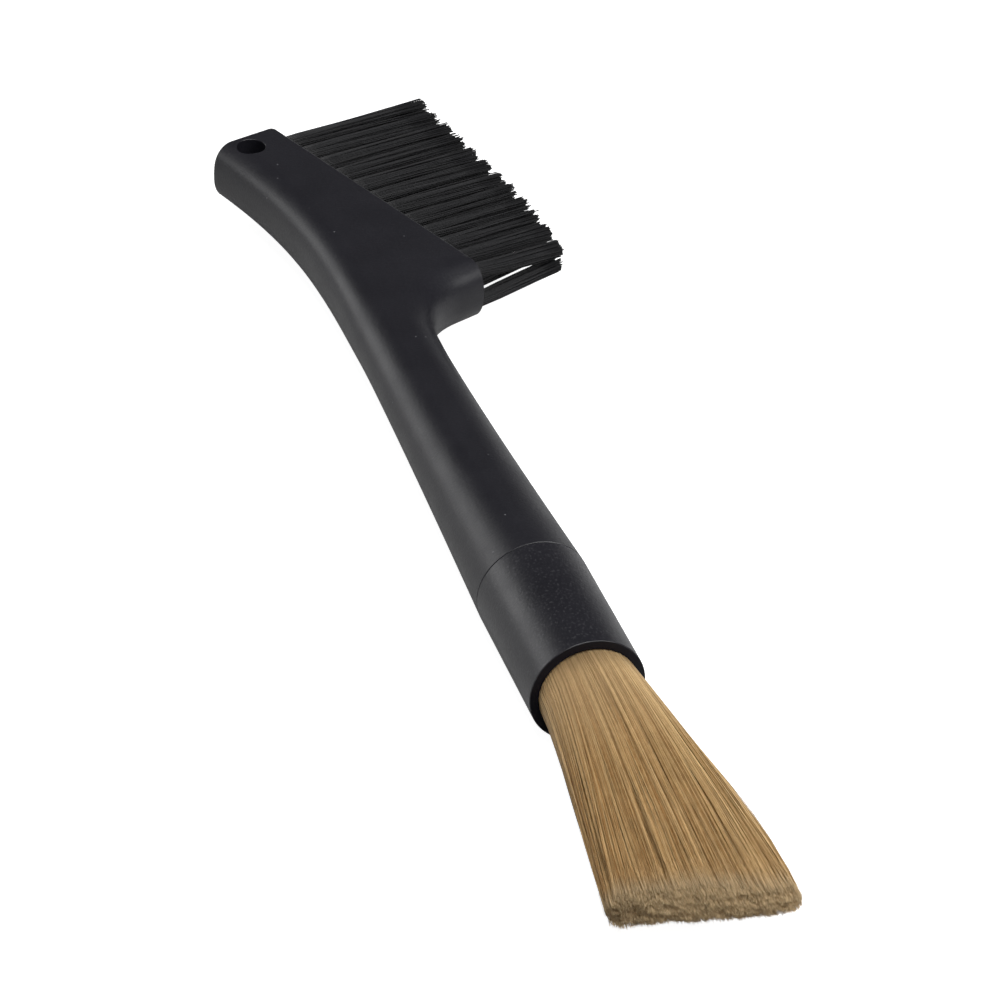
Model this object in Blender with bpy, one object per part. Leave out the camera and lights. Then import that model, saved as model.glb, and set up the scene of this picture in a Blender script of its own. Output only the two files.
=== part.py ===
"""Coffee grinder brush with two working ends.

A black moulded handle carries two rows of black nylon tufts along one edge of its flat head, and a round collar
with a fan of blond bristles at its other end. The brush lies flat: +X runs along the grip to the blond bristles,
+Y to the side that the nylon tufts point to, +Z up. Every plan size below is measured from the middle of the
collar's mouth, on the collar's axis. At the end the finished brush is set down with the middle of its box's
underside at the origin.
"""

import math
import random

import bmesh
import bpy
import numpy as np
from mathutils import Matrix, Vector

MM = 0.001
CLEARANCE = 0.3 * MM

# Collar and what it holds
COLLAR_RADIUS = 9.4 * MM
COLLAR_LENGTH = 27.2 * MM
COLLAR_WALL = 1.45 * MM
COLLAR_RIM_CHAMFER = 0.35 * MM
SEAM_CHAMFER = 0.15 * MM
COLLAR_SIDES = 40
SPIGOT_LENGTH = 13.5 * MM
SPIGOT_NOSE_CHAMFER = 0.8 * MM
GLUE_GROOVE_DEPTH = 0.5 * MM
GLUE_GROOVE_WIDTH = 1.6 * MM
GLUE_GROOVE_PLACES = (3.5 * MM, 8.5 * MM)
MOUTH_RECESS = 1.2 * MM

# Blond bristle bundle
BUNDLE_REACH = 53.3 * MM
BUNDLE_SLANT = 1.6 * MM
BUNDLE_ROOT_RADIUS = 7.6 * MM
BUNDLE_BACKING_LENGTH = 3.0 * MM
BUNDLE_TIP_HALF_WIDTH = 15.5 * MM
BUNDLE_EARLY_SPREAD = 0.35
BUNDLE_TIP_HALF_THICKNESS = 2.6 * MM
BUNDLE_DRIFT = 0.15 * MM
BUNDLE_BOW = 0.8 * MM
BUNDLE_STRANDS = 226
BUNDLE_STRAND_RADIUS = 0.36 * MM
BUNDLE_TIP_TAPER = 0.7
BUNDLE_RAGGED = 0.9 * MM

# Grip
GRIP_LENGTH = 83.0 * MM
NECK_BACK_HALF_WIDTH = 7.6 * MM
NECK_FRONT_HALF_WIDTH = 6.6 * MM
NECK_BACK_FROM_SEAM = 76.3 * MM
NECK_FRONT_FROM_SEAM = 67.8 * MM
GRIP_SWELL_POWER = 1.3
FLATTENING_RUN = 67.4 * MM

# Head
HEAD_THICKNESS = 12.2 * MM
HEEL_HEIGHT = 19.4 * MM
HEEL_LEAN = math.radians(25.5)
NOTCH_RADIUS = 14.5 * MM
EDGE_ANGLE = math.radians(21.9)
END_ANGLE = math.radians(92.0)
END_WIDTH = 12.9 * MM
TAIL_SLOPE = math.radians(19.5)
TAIL_HANDLE = 29.2 * MM
NECK_HANDLE = 20.5 * MM
SIDE_SQUARENESS = 0.56
SQUARENESS_START = 10.0 * MM
SQUARENESS_RUN = 40.0 * MM
EDGE_CHAMFER = 0.45 * MM
CORNER_RADIUS = 2.2 * MM
HANGING_HOLE_RADIUS = 2.7 * MM
HANGING_HOLE_ALONG = 3.9 * MM
HANGING_HOLE_INSET = 8.0 * MM
HANGING_HOLE_CHAMFER = 0.3 * MM

# Nylon tufts
TUFTS_IN_ROW = 12
TUFT_PITCH = 5.17 * MM
FIRST_TUFT_INSET = 3.3 * MM
LAST_TUFT_INSET = 3.5 * MM
ROW_SPACING = 6.7 * MM
ROW_LEAN = math.radians(2.2)
TUFT_HOLE_RADIUS = 1.4 * MM
TUFT_HOLE_DEPTH = 4.1 * MM
TUFT_HOLE_SIDES = 12
FAR_TUFT_REACH = 33.5 * MM
NEAR_TUFT_REACH = 20.6 * MM
TUFT_TIP_RADIUS = 1.65 * MM
TUFT_STRANDS = 7
TUFT_STRAND_RADIUS = 0.3 * MM
TUFT_RAGGED = 0.6 * MM

# Anchors at the bottoms of the tuft holes
ANCHOR_LENGTH = 2.6 * MM
ANCHOR_HEIGHT = 1.2 * MM
ANCHOR_THICKNESS = 0.45 * MM
ANCHOR_SINK = 0.75 * MM

# Mesh counts of the handle
SECTION_LEVELS = 15
HEAD_STATIONS = 14
HEEL_STATIONS = 26
GRIP_STATIONS = 16
INSET_SAMPLES = 33

# Places that follow from the sizes
SEAM_X = -COLLAR_LENGTH
NOTCH_X = SEAM_X - GRIP_LENGTH
EDGE_LENGTH = FIRST_TUFT_INSET + (TUFTS_IN_ROW - 1) * TUFT_PITCH + LAST_TUFT_INSET
EDGE_DIRECTION = Vector((math.cos(EDGE_ANGLE), math.sin(EDGE_ANGLE), 0.0))
TUFT_DIRECTION = Vector((-math.sin(EDGE_ANGLE), math.cos(EDGE_ANGLE), 0.0))
HEEL_POINT = Vector((
    NOTCH_X - (HEEL_HEIGHT - NECK_FRONT_HALF_WIDTH) * math.tan(HEEL_LEAN),
    HEEL_HEIGHT,
    0.0,
))
CORNER_POINT = HEEL_POINT - EDGE_LENGTH * EDGE_DIRECTION
END_TURN = EDGE_ANGLE - END_ANGLE
END_DIRECTION = Vector((math.cos(END_TURN), math.sin(END_TURN), 0.0))
END_OUTWARD = Vector((END_DIRECTION.y, -END_DIRECTION.x, 0.0))
TAIL_POINT = CORNER_POINT + END_WIDTH * END_DIRECTION
BACK_NECK_POINT = Vector((SEAM_X - NECK_BACK_FROM_SEAM, -NECK_BACK_HALF_WIDTH, 0.0))
HALF_HEAD = HEAD_THICKNESS / 2
COLLAR_BORE_RADIUS = COLLAR_RADIUS - COLLAR_WALL
SPIGOT_RADIUS = COLLAR_BORE_RADIUS - CLEARANCE
SPIGOT_END_X = SEAM_X + SPIGOT_LENGTH
BACKING_END_X = -MOUTH_RECESS
BACKING_START_X = BACKING_END_X - BUNDLE_BACKING_LENGTH
RESIN_START_X = SPIGOT_END_X + CLEARANCE
RESIN_END_X = BACKING_START_X - CLEARANCE


def smooth_step(value):
    """Ease from 0 to 1 as the value goes from 0 to 1."""
    t = np.clip(value, 0.0, 1.0)
    return t * t * (3.0 - 2.0 * t)


def clear_scene():
    for item in list(bpy.data.objects):
        bpy.data.objects.remove(item, do_unlink=True)


def make_material(name, colour, roughness, metallic=0.0):
    material = bpy.data.materials.new(name)
    material.use_nodes = True
    shader = material.node_tree.nodes["Principled BSDF"]
    shader.inputs["Base Color"].default_value = (*colour, 1.0)
    shader.inputs["Roughness"].default_value = roughness
    shader.inputs["Metallic"].default_value = metallic
    material.diffuse_color = (*colour, 1.0)
    return material


def add_object(name, mesh, material, parent):
    item = bpy.data.objects.new(name, mesh)
    mesh.materials.append(material)
    bpy.context.scene.collection.objects.link(item)
    item.parent = parent
    return item


def add_cutter(name, mesh, parent):
    """A cutting shape, kept in the scene as a wire and left out of the model."""
    item = bpy.data.objects.new(name, mesh)
    bpy.context.scene.collection.objects.link(item)
    item.parent = parent
    item.hide_render = True
    item.display_type = "WIRE"
    return item


def mesh_from_bmesh(name, shape):
    bmesh.ops.recalc_face_normals(shape, faces=shape.faces)
    mesh = bpy.data.meshes.new(name)
    shape.to_mesh(mesh)
    shape.free()
    return mesh


def shade_round(mesh, angle=40.0):
    mesh.shade_smooth()
    mesh.set_sharp_from_angle(angle=math.radians(angle))


def add_boolean(item, cutter, operation="DIFFERENCE"):
    modifier = item.modifiers.new(cutter.name, "BOOLEAN")
    modifier.object = cutter
    modifier.operation = operation
    modifier.solver = "EXACT"


def join_rings(shape, rings):
    """Skin the space between each ring and the next, all of equal count."""
    for ring, following in zip(rings, rings[1:]):
        count = len(ring)
        for index in range(count):
            after = (index + 1) % count
            shape.faces.new((ring[index], ring[after], following[after], following[index]))


def bridge_rings(shape, rings):
    """One closed solid from rings of equal count, with its two ends capped."""
    join_rings(shape, rings)
    shape.faces.new(reversed(rings[0]))
    shape.faces.new(rings[-1])


def add_ring(shape, place, radius, sides, axis="X"):
    ring = []
    for index in range(sides):
        angle = 2.0 * math.pi * (index + 0.5) / sides
        across = radius * math.cos(angle)
        up = radius * math.sin(angle)
        point = (place, across, up) if axis == "X" else (across, up, place)
        ring.append(shape.verts.new(point))
    return ring


def turned_mesh(name, profile, sides, axis="X"):
    """A turned solid from (place along the axis, radius) pairs."""
    shape = bmesh.new()
    bridge_rings(shape, [add_ring(shape, place, radius, sides, axis) for place, radius in profile])
    return mesh_from_bmesh(name, shape)


def tube_mesh(name, profile, sides):
    """A turned tube along X. Its profile runs round the wall and back to its start."""
    shape = bmesh.new()
    rings = [add_ring(shape, place, radius, sides) for place, radius in profile]
    join_rings(shape, rings + rings[:1])
    return mesh_from_bmesh(name, shape)


def prism_mesh(name, outline, origin, side, up, along, length):
    """An outline in the plane of side and up, drawn out by a length along a direction."""
    shape = bmesh.new()
    rings = []
    for place in (0.0, length):
        base = origin + place * along
        rings.append([shape.verts.new(base + a * side + b * up) for a, b in outline])
    bridge_rings(shape, rings)
    return mesh_from_bmesh(name, shape)


def bezier_line(start, start_pull, end_pull, end, count=48):
    t = np.linspace(0.0, 1.0, count)[:, None]
    return (
        (1 - t) ** 3 * np.array(start)
        + 3 * (1 - t) ** 2 * t * np.array(start_pull)
        + 3 * (1 - t) * t**2 * np.array(end_pull)
        + t**3 * np.array(end)
    )


def grip_swell(x, neck_half_width, neck_from_seam):
    """The grip swells from the neck to the collar's radius at the seam, a little faster towards the seam."""
    t = np.clip((x - (SEAM_X - neck_from_seam)) / neck_from_seam, 0.0, 1.0)
    return neck_half_width + (COLLAR_RADIUS - neck_half_width) * t**GRIP_SWELL_POWER


def back_sweep():
    """The head's back edge as one curve, from the tail to the neck."""
    tail = np.array(TAIL_POINT[:2])
    slope = np.array((math.cos(TAIL_SLOPE), math.sin(TAIL_SLOPE)))
    neck = np.array(BACK_NECK_POINT[:2])
    run_out = tail - 2.0 * HEAD_THICKNESS * slope
    curve = bezier_line(tail, tail + TAIL_HANDLE * slope, neck - (NECK_HANDLE, 0.0), neck)
    return np.vstack((run_out, curve))


BACK_SWEEP = back_sweep()


def back_line(x):
    sweep = np.interp(x, BACK_SWEEP[:, 0], BACK_SWEEP[:, 1])
    grip = -grip_swell(x, NECK_BACK_HALF_WIDTH, NECK_BACK_FROM_SEAM)
    return np.where(x < BACK_NECK_POINT.x, sweep, grip)


def tufted_line(x):
    return CORNER_POINT.y + (x - CORNER_POINT.x) * math.tan(EDGE_ANGLE)


def front_line(x):
    """The front edge before the tufted face is cut: grip, notch fillet, heel and a blank past the cut."""
    heel_angle = math.pi / 2 + HEEL_LEAN
    tangent = NOTCH_RADIUS / math.tan(heel_angle / 2)
    fillet_x = NOTCH_X + tangent
    fillet_y = NECK_FRONT_HALF_WIDTH + NOTCH_RADIUS
    heel_start_x = NOTCH_X + tangent * math.cos(heel_angle)
    grip = grip_swell(x, NECK_FRONT_HALF_WIDTH, NECK_FRONT_FROM_SEAM)
    fillet = fillet_y - np.sqrt(np.clip(NOTCH_RADIUS**2 - (x - fillet_x) ** 2, 0.0, None))
    heel = HEEL_POINT.y - (x - HEEL_POINT.x) / math.tan(HEEL_LEAN)
    edge = np.where(x >= fillet_x, grip, np.where(x > heel_start_x, fillet, heel))
    return np.minimum(edge, tufted_line(x) + HEAD_THICKNESS)


def half_thickness(x):
    """Round at the seam, and thinner from there, ever slower, to the head's even thickness."""
    t = np.clip((SEAM_X - x) / FLATTENING_RUN, 0.0, 1.0)
    return COLLAR_RADIUS + (HALF_HEAD - COLLAR_RADIUS) * np.sin(math.pi / 2 * t)


def side_power(x):
    """2 gives round sides, as on the grip. The head's sides are a little squarer."""
    before_neck = BACK_NECK_POINT.x + SQUARENESS_START - x
    return 2.0 + SIDE_SQUARENESS * smooth_step(before_neck / SQUARENESS_RUN)


def section(x):
    """One upright slice of the handle: flat above and below, with rounded front and back sides."""
    middle = np.array([x])
    half_height = float(half_thickness(x))
    half_width = float(front_line(middle)[0] - back_line(middle)[0]) / 2
    rounding = min(half_height, half_width)
    power = 2.0 / float(side_power(x))
    step = math.pi / SECTION_LEVELS
    top_sine = math.cos(step / 2) ** power
    spread = np.linspace(-1.0, 1.0, INSET_SAMPLES)
    front = []
    back = []
    for level in range(SECTION_LEVELS):
        angle = -math.pi / 2 + step * (level + 0.5)
        height = half_height * math.copysign(abs(math.sin(angle)) ** power, angle) / top_sine
        inset = rounding * (1.0 - abs(math.cos(angle)) ** power)
        beside = x + spread * inset
        bulge = np.sqrt(np.clip(inset**2 - (spread * inset) ** 2, 0.0, None))
        front_y = float(np.min(front_line(beside) - bulge))
        back_y = float(np.max(back_line(beside) + bulge))
        front.append((x, front_y, height))
        back.append((x, back_y, height))
    return front + back[::-1]


def handle_stations():
    """Places of the slices: close together round the heel and notch, wider apart elsewhere."""
    blank_x = CORNER_POINT.x - HEAD_THICKNESS / 2
    heel_x = HEEL_POINT.x - HEAD_THICKNESS
    neck_x = NOTCH_X + 0.8 * NOTCH_RADIUS
    head = np.linspace(blank_x, heel_x, HEAD_STATIONS, endpoint=False)
    heel = np.linspace(heel_x, neck_x, HEEL_STATIONS, endpoint=False)
    grip = np.linspace(neck_x, SEAM_X, GRIP_STATIONS)
    return np.concatenate((head, heel, grip))


def spigot_profile():
    """The step down from the grip, the glue grooves and the chamfered nose."""
    steps = [(SEAM_X, SPIGOT_RADIUS)]
    half_groove = GLUE_GROOVE_WIDTH / 2
    for place in GLUE_GROOVE_PLACES:
        middle = SEAM_X + place
        floor = SPIGOT_RADIUS - GLUE_GROOVE_DEPTH
        steps.append((middle - half_groove, SPIGOT_RADIUS))
        steps.append((middle - half_groove + GLUE_GROOVE_DEPTH, floor))
        steps.append((middle + half_groove - GLUE_GROOVE_DEPTH, floor))
        steps.append((middle + half_groove, SPIGOT_RADIUS))
    steps.append((SPIGOT_END_X - SPIGOT_NOSE_CHAMFER, SPIGOT_RADIUS))
    steps.append((SPIGOT_END_X, SPIGOT_RADIUS - SPIGOT_NOSE_CHAMFER))
    return steps


def handle_blank_mesh():
    """The moulding before its cuts: lofted head and grip, with the spigot on its end."""
    shape = bmesh.new()
    slices = [section(float(x)) for x in handle_stations()]
    seam = slices[-1]
    for place, radius in spigot_profile():
        share = radius / COLLAR_RADIUS
        slices.append([(place, y * share, z * share) for _, y, z in seam])
    rings = [[shape.verts.new(point) for point in ring] for ring in slices]
    bridge_rings(shape, rings)
    return mesh_from_bmesh("handle", shape)


def edge_trim_mesh(name, corner, along, out, length):
    """Everything past one straight cut face, with a small chamfer above and below it."""
    far = 4.0 * HEAD_THICKNESS
    chamfer = EDGE_CHAMFER
    outline = [
        (0.0, chamfer - HALF_HEAD),
        (0.0, HALF_HEAD - chamfer),
        (-2.0 * chamfer, HALF_HEAD + chamfer),
        (-2.0 * chamfer, far),
        (far, far),
        (far, -far),
        (-2.0 * chamfer, -far),
        (-2.0 * chamfer, -HALF_HEAD - chamfer),
    ]
    return prism_mesh(name, outline, corner, out, Vector((0.0, 0.0, 1.0)), along, length)


def corner_trim_mesh():
    """The sliver between the far corner and its rounding."""
    steps = 6
    across = (END_DIRECTION + EDGE_DIRECTION).normalized()
    half_opening = EDGE_DIRECTION.angle(END_DIRECTION) / 2
    reach = CORNER_RADIUS / math.tan(half_opening)
    centre = CORNER_POINT + across * (CORNER_RADIUS / math.sin(half_opening))
    first = CORNER_POINT + EDGE_DIRECTION * reach
    last = CORNER_POINT + END_DIRECTION * reach
    start = first - centre
    turn = math.pi - 2.0 * half_opening
    outline = [first + CORNER_RADIUS * TUFT_DIRECTION]
    for index in range(steps + 1):
        outline.append(centre + Matrix.Rotation(turn * index / steps, 3, "Z") @ start)
    outline.append(last + CORNER_RADIUS * END_OUTWARD)
    outline.append(CORNER_POINT - across * 2.0 * CORNER_RADIUS)
    return prism_mesh(
        "corner_trim",
        [(point.x, point.y) for point in outline],
        Vector((0.0, 0.0, -HEAD_THICKNESS)),
        Vector((1.0, 0.0, 0.0)),
        Vector((0.0, 1.0, 0.0)),
        Vector((0.0, 0.0, 1.0)),
        2.0 * HEAD_THICKNESS,
    )


def hanging_hole_mesh():
    radius = HANGING_HOLE_RADIUS
    wide = radius + 2.0 * HANGING_HOLE_CHAMFER
    profile = [
        (-HALF_HEAD - HANGING_HOLE_CHAMFER, wide),
        (-HALF_HEAD + HANGING_HOLE_CHAMFER, radius),
        (HALF_HEAD - HANGING_HOLE_CHAMFER, radius),
        (HALF_HEAD + HANGING_HOLE_CHAMFER, wide),
    ]
    mesh = turned_mesh("hanging_hole", profile, 28, axis="Z")
    centre = CORNER_POINT + HANGING_HOLE_ALONG * EDGE_DIRECTION - HANGING_HOLE_INSET * TUFT_DIRECTION
    mesh.transform(Matrix.Translation(centre))
    return mesh


def tuft_frame(along, side):
    """A tuft's place on the cut face: local +Z out along the tuft, local +X along the edge."""
    up = Vector((0.0, 0.0, 1.0))
    place = CORNER_POINT + along * EDGE_DIRECTION + side * ROW_SPACING / 2 * up
    axes = Matrix((EDGE_DIRECTION, -up, TUFT_DIRECTION)).transposed().to_4x4()
    return Matrix.Translation(place) @ axes @ Matrix.Rotation(-side * ROW_LEAN, 4, "X")


def tuft_places():
    """Name ending, frame and reach of each tuft. The two rows lean a little towards each other."""
    for row, side in (("upper", 1.0), ("lower", -1.0)):
        for index in range(TUFTS_IN_ROW):
            share = index / (TUFTS_IN_ROW - 1)
            reach = FAR_TUFT_REACH + (NEAR_TUFT_REACH - FAR_TUFT_REACH) * share
            yield f"{row}_{index + 1:02d}", tuft_frame(FIRST_TUFT_INSET + index * TUFT_PITCH, side), reach


def tuft_holes_mesh():
    """All the round blind holes of both rows."""
    shape = bmesh.new()
    for _, frame, _ in tuft_places():
        bmesh.ops.create_cone(
            shape,
            cap_ends=True,
            segments=TUFT_HOLE_SIDES,
            radius1=TUFT_HOLE_RADIUS,
            radius2=TUFT_HOLE_RADIUS,
            depth=2.0 * TUFT_HOLE_DEPTH,
            matrix=frame,
        )
    return mesh_from_bmesh("tuft_holes", shape)


def box_mesh(name, boxes):
    """One mesh of separate boxes, each given by its frame and its three sides."""
    shape = bmesh.new()
    for frame, size in boxes:
        bmesh.ops.create_cube(shape, size=1.0, matrix=frame @ Matrix.Diagonal((*size, 1.0)))
    return mesh_from_bmesh(name, shape)


def anchor_slots_mesh():
    """The slots that the anchors cut in the bottoms of the tuft holes."""
    overlap = ANCHOR_HEIGHT - ANCHOR_SINK
    depth = ANCHOR_SINK + CLEARANCE + overlap
    size = (ANCHOR_LENGTH + 2 * CLEARANCE, ANCHOR_THICKNESS + 2 * CLEARANCE, depth)
    middle = -TUFT_HOLE_DEPTH - ANCHOR_SINK - CLEARANCE + depth / 2
    boxes = []
    for _, frame, _ in tuft_places():
        boxes.append((frame @ Matrix.Translation((0.0, 0.0, middle)), size))
    return box_mesh("anchor_slots", boxes)


def build_handle(material, parent):
    handle = add_object("handle", handle_blank_mesh(), material, parent)
    run = 2.0 * HEAD_THICKNESS
    trims = (
        edge_trim_mesh(
            "tufted_face_trim",
            CORNER_POINT - run * EDGE_DIRECTION,
            EDGE_DIRECTION,
            TUFT_DIRECTION,
            EDGE_LENGTH + 2.0 * run,
        ),
        edge_trim_mesh(
            "end_face_trim",
            CORNER_POINT - run * END_DIRECTION,
            END_DIRECTION,
            END_OUTWARD,
            END_WIDTH + 2.0 * run,
        ),
        corner_trim_mesh(),
        hanging_hole_mesh(),
        tuft_holes_mesh(),
        anchor_slots_mesh(),
    )
    for mesh in trims:
        add_boolean(handle, add_cutter(mesh.name, mesh, parent))
    shade_round(handle.data)
    return handle


def build_collar(material, parent):
    start = SEAM_X + CLEARANCE
    profile = [
        (start, COLLAR_BORE_RADIUS),
        (start, COLLAR_RADIUS - SEAM_CHAMFER),
        (start + SEAM_CHAMFER, COLLAR_RADIUS),
        (-COLLAR_RIM_CHAMFER, COLLAR_RADIUS),
        (0.0, COLLAR_RADIUS - COLLAR_RIM_CHAMFER),
        (0.0, COLLAR_BORE_RADIUS),
    ]
    mesh = tube_mesh("collar", profile, COLLAR_SIDES)
    shade_round(mesh)
    return add_object("collar", mesh, material, parent)


def build_resin(material, parent):
    profile = [(RESIN_START_X, SPIGOT_RADIUS), (RESIN_END_X, SPIGOT_RADIUS)]
    mesh = turned_mesh("resin_plug", profile, COLLAR_SIDES)
    shade_round(mesh)
    return add_object("resin_plug", mesh, material, parent)


def add_strand(shape, stations):
    """A three-sided strand through stations, each a list of three corner points."""
    rings = [[shape.verts.new(point) for point in corners] for corners in stations]
    bridge_rings(shape, rings)


def spiral_spots(count, radius):
    """Evenly spread spots in a disc, on a sunflower spiral."""
    turn = math.pi * (3.0 - math.sqrt(5.0))
    for index in range(count):
        distance = radius * math.sqrt((index + 0.5) / count)
        yield distance * math.cos(index * turn), distance * math.sin(index * turn)


def fan_half_width(x):
    """The bundle is round at the mouth and widens a little faster there than towards its tip."""
    t = min(max(x / BUNDLE_REACH, 0.0), 1.0)
    spread = t + BUNDLE_EARLY_SPREAD * (math.sin(math.pi / 2 * t) - t)
    return BUNDLE_ROOT_RADIUS + (BUNDLE_TIP_HALF_WIDTH - BUNDLE_ROOT_RADIUS) * spread


def fan_half_thickness(x):
    t = min(max(x / BUNDLE_REACH, 0.0), 1.0)
    return BUNDLE_ROOT_RADIUS + (BUNDLE_TIP_HALF_THICKNESS - BUNDLE_ROOT_RADIUS) * t


def fan_point(x, across, up):
    """Carry a spot of the root disc to its place in the fan at x."""
    t = min(max(x / BUNDLE_REACH, 0.0), 1.0)
    shift = BUNDLE_DRIFT * t + BUNDLE_BOW * math.sin(math.pi * t)
    y = across * fan_half_width(x) / BUNDLE_ROOT_RADIUS + shift
    z = up * fan_half_thickness(x) / BUNDLE_ROOT_RADIUS
    return (x, y, z)


def strand_corners(across, up, radius, turn):
    corners = []
    for corner in range(3):
        angle = turn + 2.0 * math.pi * corner / 3
        corners.append((across + radius * math.cos(angle), up + radius * math.sin(angle)))
    return corners


def build_bundle(material, parent):
    draw = random.Random(11)
    strands = bmesh.new()
    radius = BUNDLE_STRAND_RADIUS
    spread = BUNDLE_ROOT_RADIUS - radius
    root_x = BACKING_END_X - BUNDLE_STRAND_RADIUS
    bend_x = 0.4 * BUNDLE_REACH
    for across, up in spiral_spots(BUNDLE_STRANDS, spread):
        slant = BUNDLE_SLANT * across / BUNDLE_ROOT_RADIUS
        tip_x = BUNDLE_REACH + slant - draw.uniform(0.0, BUNDLE_RAGGED)
        turn = draw.uniform(0.0, 2.0 * math.pi)
        full = strand_corners(across, up, radius, turn)
        fine = strand_corners(across, up, radius * BUNDLE_TIP_TAPER, turn)
        stations = [
            [fan_point(root_x, a, b) for a, b in full],
            [fan_point(bend_x, a, b) for a, b in full],
            [fan_point(tip_x, a, b) for a, b in fine],
        ]
        add_strand(strands, stations)
    backing_profile = [(BACKING_START_X, SPIGOT_RADIUS), (BACKING_END_X, SPIGOT_RADIUS)]
    backing = turned_mesh("blond_bristles", backing_profile, COLLAR_SIDES)
    bundle = add_object("blond_bristles", backing, material, parent)
    strand_mesh = mesh_from_bmesh("blond_strands", strands)
    add_boolean(bundle, add_cutter("blond_strands", strand_mesh, parent), "UNION")
    return bundle


def tuft_spots():
    """One strand in the middle and the others in a ring round it."""
    ring_radius = TUFT_HOLE_RADIUS - CLEARANCE - TUFT_STRAND_RADIUS - 0.02 * MM
    yield 0.0, 0.0
    for index in range(TUFT_STRANDS - 1):
        angle = 2.0 * math.pi * index / (TUFT_STRANDS - 1)
        yield ring_radius * math.cos(angle), ring_radius * math.sin(angle)


def build_tuft(name, frame, reach, material, parent, draw):
    """One nylon tuft: a short root that fills its hole, and strands that flare from it."""
    root_radius = TUFT_HOLE_RADIUS - CLEARANCE
    root_start = -TUFT_HOLE_DEPTH + (ANCHOR_HEIGHT - ANCHOR_SINK) + CLEARANCE
    flare = TUFT_TIP_RADIUS / root_radius
    root = turned_mesh(name, [(root_start, root_radius), (0.0, root_radius)], TUFT_HOLE_SIDES, axis="Z")
    strands = bmesh.new()
    for across, up in tuft_spots():
        turn = draw.uniform(0.0, 2.0 * math.pi)
        tip = reach - draw.uniform(0.0, TUFT_RAGGED)
        corners = strand_corners(across, up, TUFT_STRAND_RADIUS, turn)
        bottom = [(a, b, root_start / 2) for a, b in corners]
        top = [(a * flare, b * flare, tip) for a, b in corners]
        add_strand(strands, [bottom, top])
    strand_mesh = mesh_from_bmesh(name + "_strands", strands)
    tuft = add_object(name, root, material, parent)
    cutter = add_cutter(name + "_strands", strand_mesh, parent)
    tuft.matrix_world = frame
    cutter.matrix_world = frame
    add_boolean(tuft, cutter, "UNION")
    return tuft


def build_tufts(material, parent):
    draw = random.Random(5)
    for ending, frame, reach in tuft_places():
        build_tuft("nylon_tuft_" + ending, frame, reach, material, parent, draw)


def build_anchors(material, parent):
    middle = -TUFT_HOLE_DEPTH - ANCHOR_SINK + ANCHOR_HEIGHT / 2
    size = (ANCHOR_LENGTH, ANCHOR_THICKNESS, ANCHOR_HEIGHT)
    for ending, frame, _ in tuft_places():
        mesh = box_mesh("tuft_anchor_" + ending, [(Matrix.Identity(4), size)])
        anchor = add_object("tuft_anchor_" + ending, mesh, material, parent)
        anchor.matrix_world = frame @ Matrix.Translation((0.0, 0.0, middle))


def set_down(parent):
    """Move the brush so that the middle of its box's underside is at the origin."""
    bpy.context.view_layer.update()
    graph = bpy.context.evaluated_depsgraph_get()
    corners = []
    for item in bpy.context.scene.objects:
        if item.type == "MESH" and not item.hide_render:
            seen = item.evaluated_get(graph)
            mesh = seen.to_mesh()
            corners.extend(seen.matrix_world @ vertex.co for vertex in mesh.vertices)
            seen.to_mesh_clear()
    points = np.array(corners)
    low = points.min(axis=0)
    high = points.max(axis=0)
    parent.location = (-(low[0] + high[0]) / 2, -(low[1] + high[1]) / 2, -low[2])
    bpy.context.view_layer.update()


def main():
    clear_scene()
    brush = bpy.data.objects.new("brush", None)
    bpy.context.scene.collection.objects.link(brush)
    black_plastic = make_material("black_plastic", (0.022, 0.022, 0.024), 0.5)
    blond_fibre = make_material("blond_fibre", (0.42, 0.26, 0.11), 0.6)
    black_nylon = make_material("black_nylon", (0.028, 0.028, 0.03), 0.42)
    resin = make_material("resin", (0.2, 0.12, 0.05), 0.3)
    steel = make_material("steel", (0.55, 0.55, 0.56), 0.35, 1.0)
    build_handle(black_plastic, brush)
    build_collar(black_plastic.copy(), brush)
    build_resin(resin, brush)
    build_bundle(blond_fibre, brush)
    build_tufts(black_nylon, brush)
    build_anchors(steel, brush)
    set_down(brush)


main()
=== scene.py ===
"""Looks of a double-ended coffee grinder brush.

A black moulded handle has two rows of black nylon tufts on the edge of its flat head, and a round collar
with a fan of blond bristles at its other end. Each piece is worked out from the middle of the collar's
mouth, on the collar's axis, and is then moved to the mouth of the collar in the frame.
"""

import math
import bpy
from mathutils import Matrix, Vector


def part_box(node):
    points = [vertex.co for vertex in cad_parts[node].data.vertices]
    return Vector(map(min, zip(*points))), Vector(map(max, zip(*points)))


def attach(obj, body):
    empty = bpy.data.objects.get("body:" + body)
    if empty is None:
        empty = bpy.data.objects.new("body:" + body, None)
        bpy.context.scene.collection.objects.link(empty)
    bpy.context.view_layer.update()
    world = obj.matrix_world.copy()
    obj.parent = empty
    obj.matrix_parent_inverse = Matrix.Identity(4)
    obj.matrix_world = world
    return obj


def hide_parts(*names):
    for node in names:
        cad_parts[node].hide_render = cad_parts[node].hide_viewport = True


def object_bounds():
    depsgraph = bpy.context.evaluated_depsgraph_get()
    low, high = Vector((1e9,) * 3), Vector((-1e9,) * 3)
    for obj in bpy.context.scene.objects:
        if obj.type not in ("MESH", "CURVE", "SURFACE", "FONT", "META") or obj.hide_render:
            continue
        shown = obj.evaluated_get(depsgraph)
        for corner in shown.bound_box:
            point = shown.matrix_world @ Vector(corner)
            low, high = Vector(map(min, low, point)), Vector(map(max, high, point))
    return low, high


bl_info = {
    "name": "Coffee grinder brush",
    "version": (1, 0, 0),
    "blender": (4, 5, 0),
    "location": "3D View > Sidebar > Brush",
    "description": "Builds a double-ended coffee grinder brush and its studio",
    "category": "Add Mesh",
}

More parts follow.
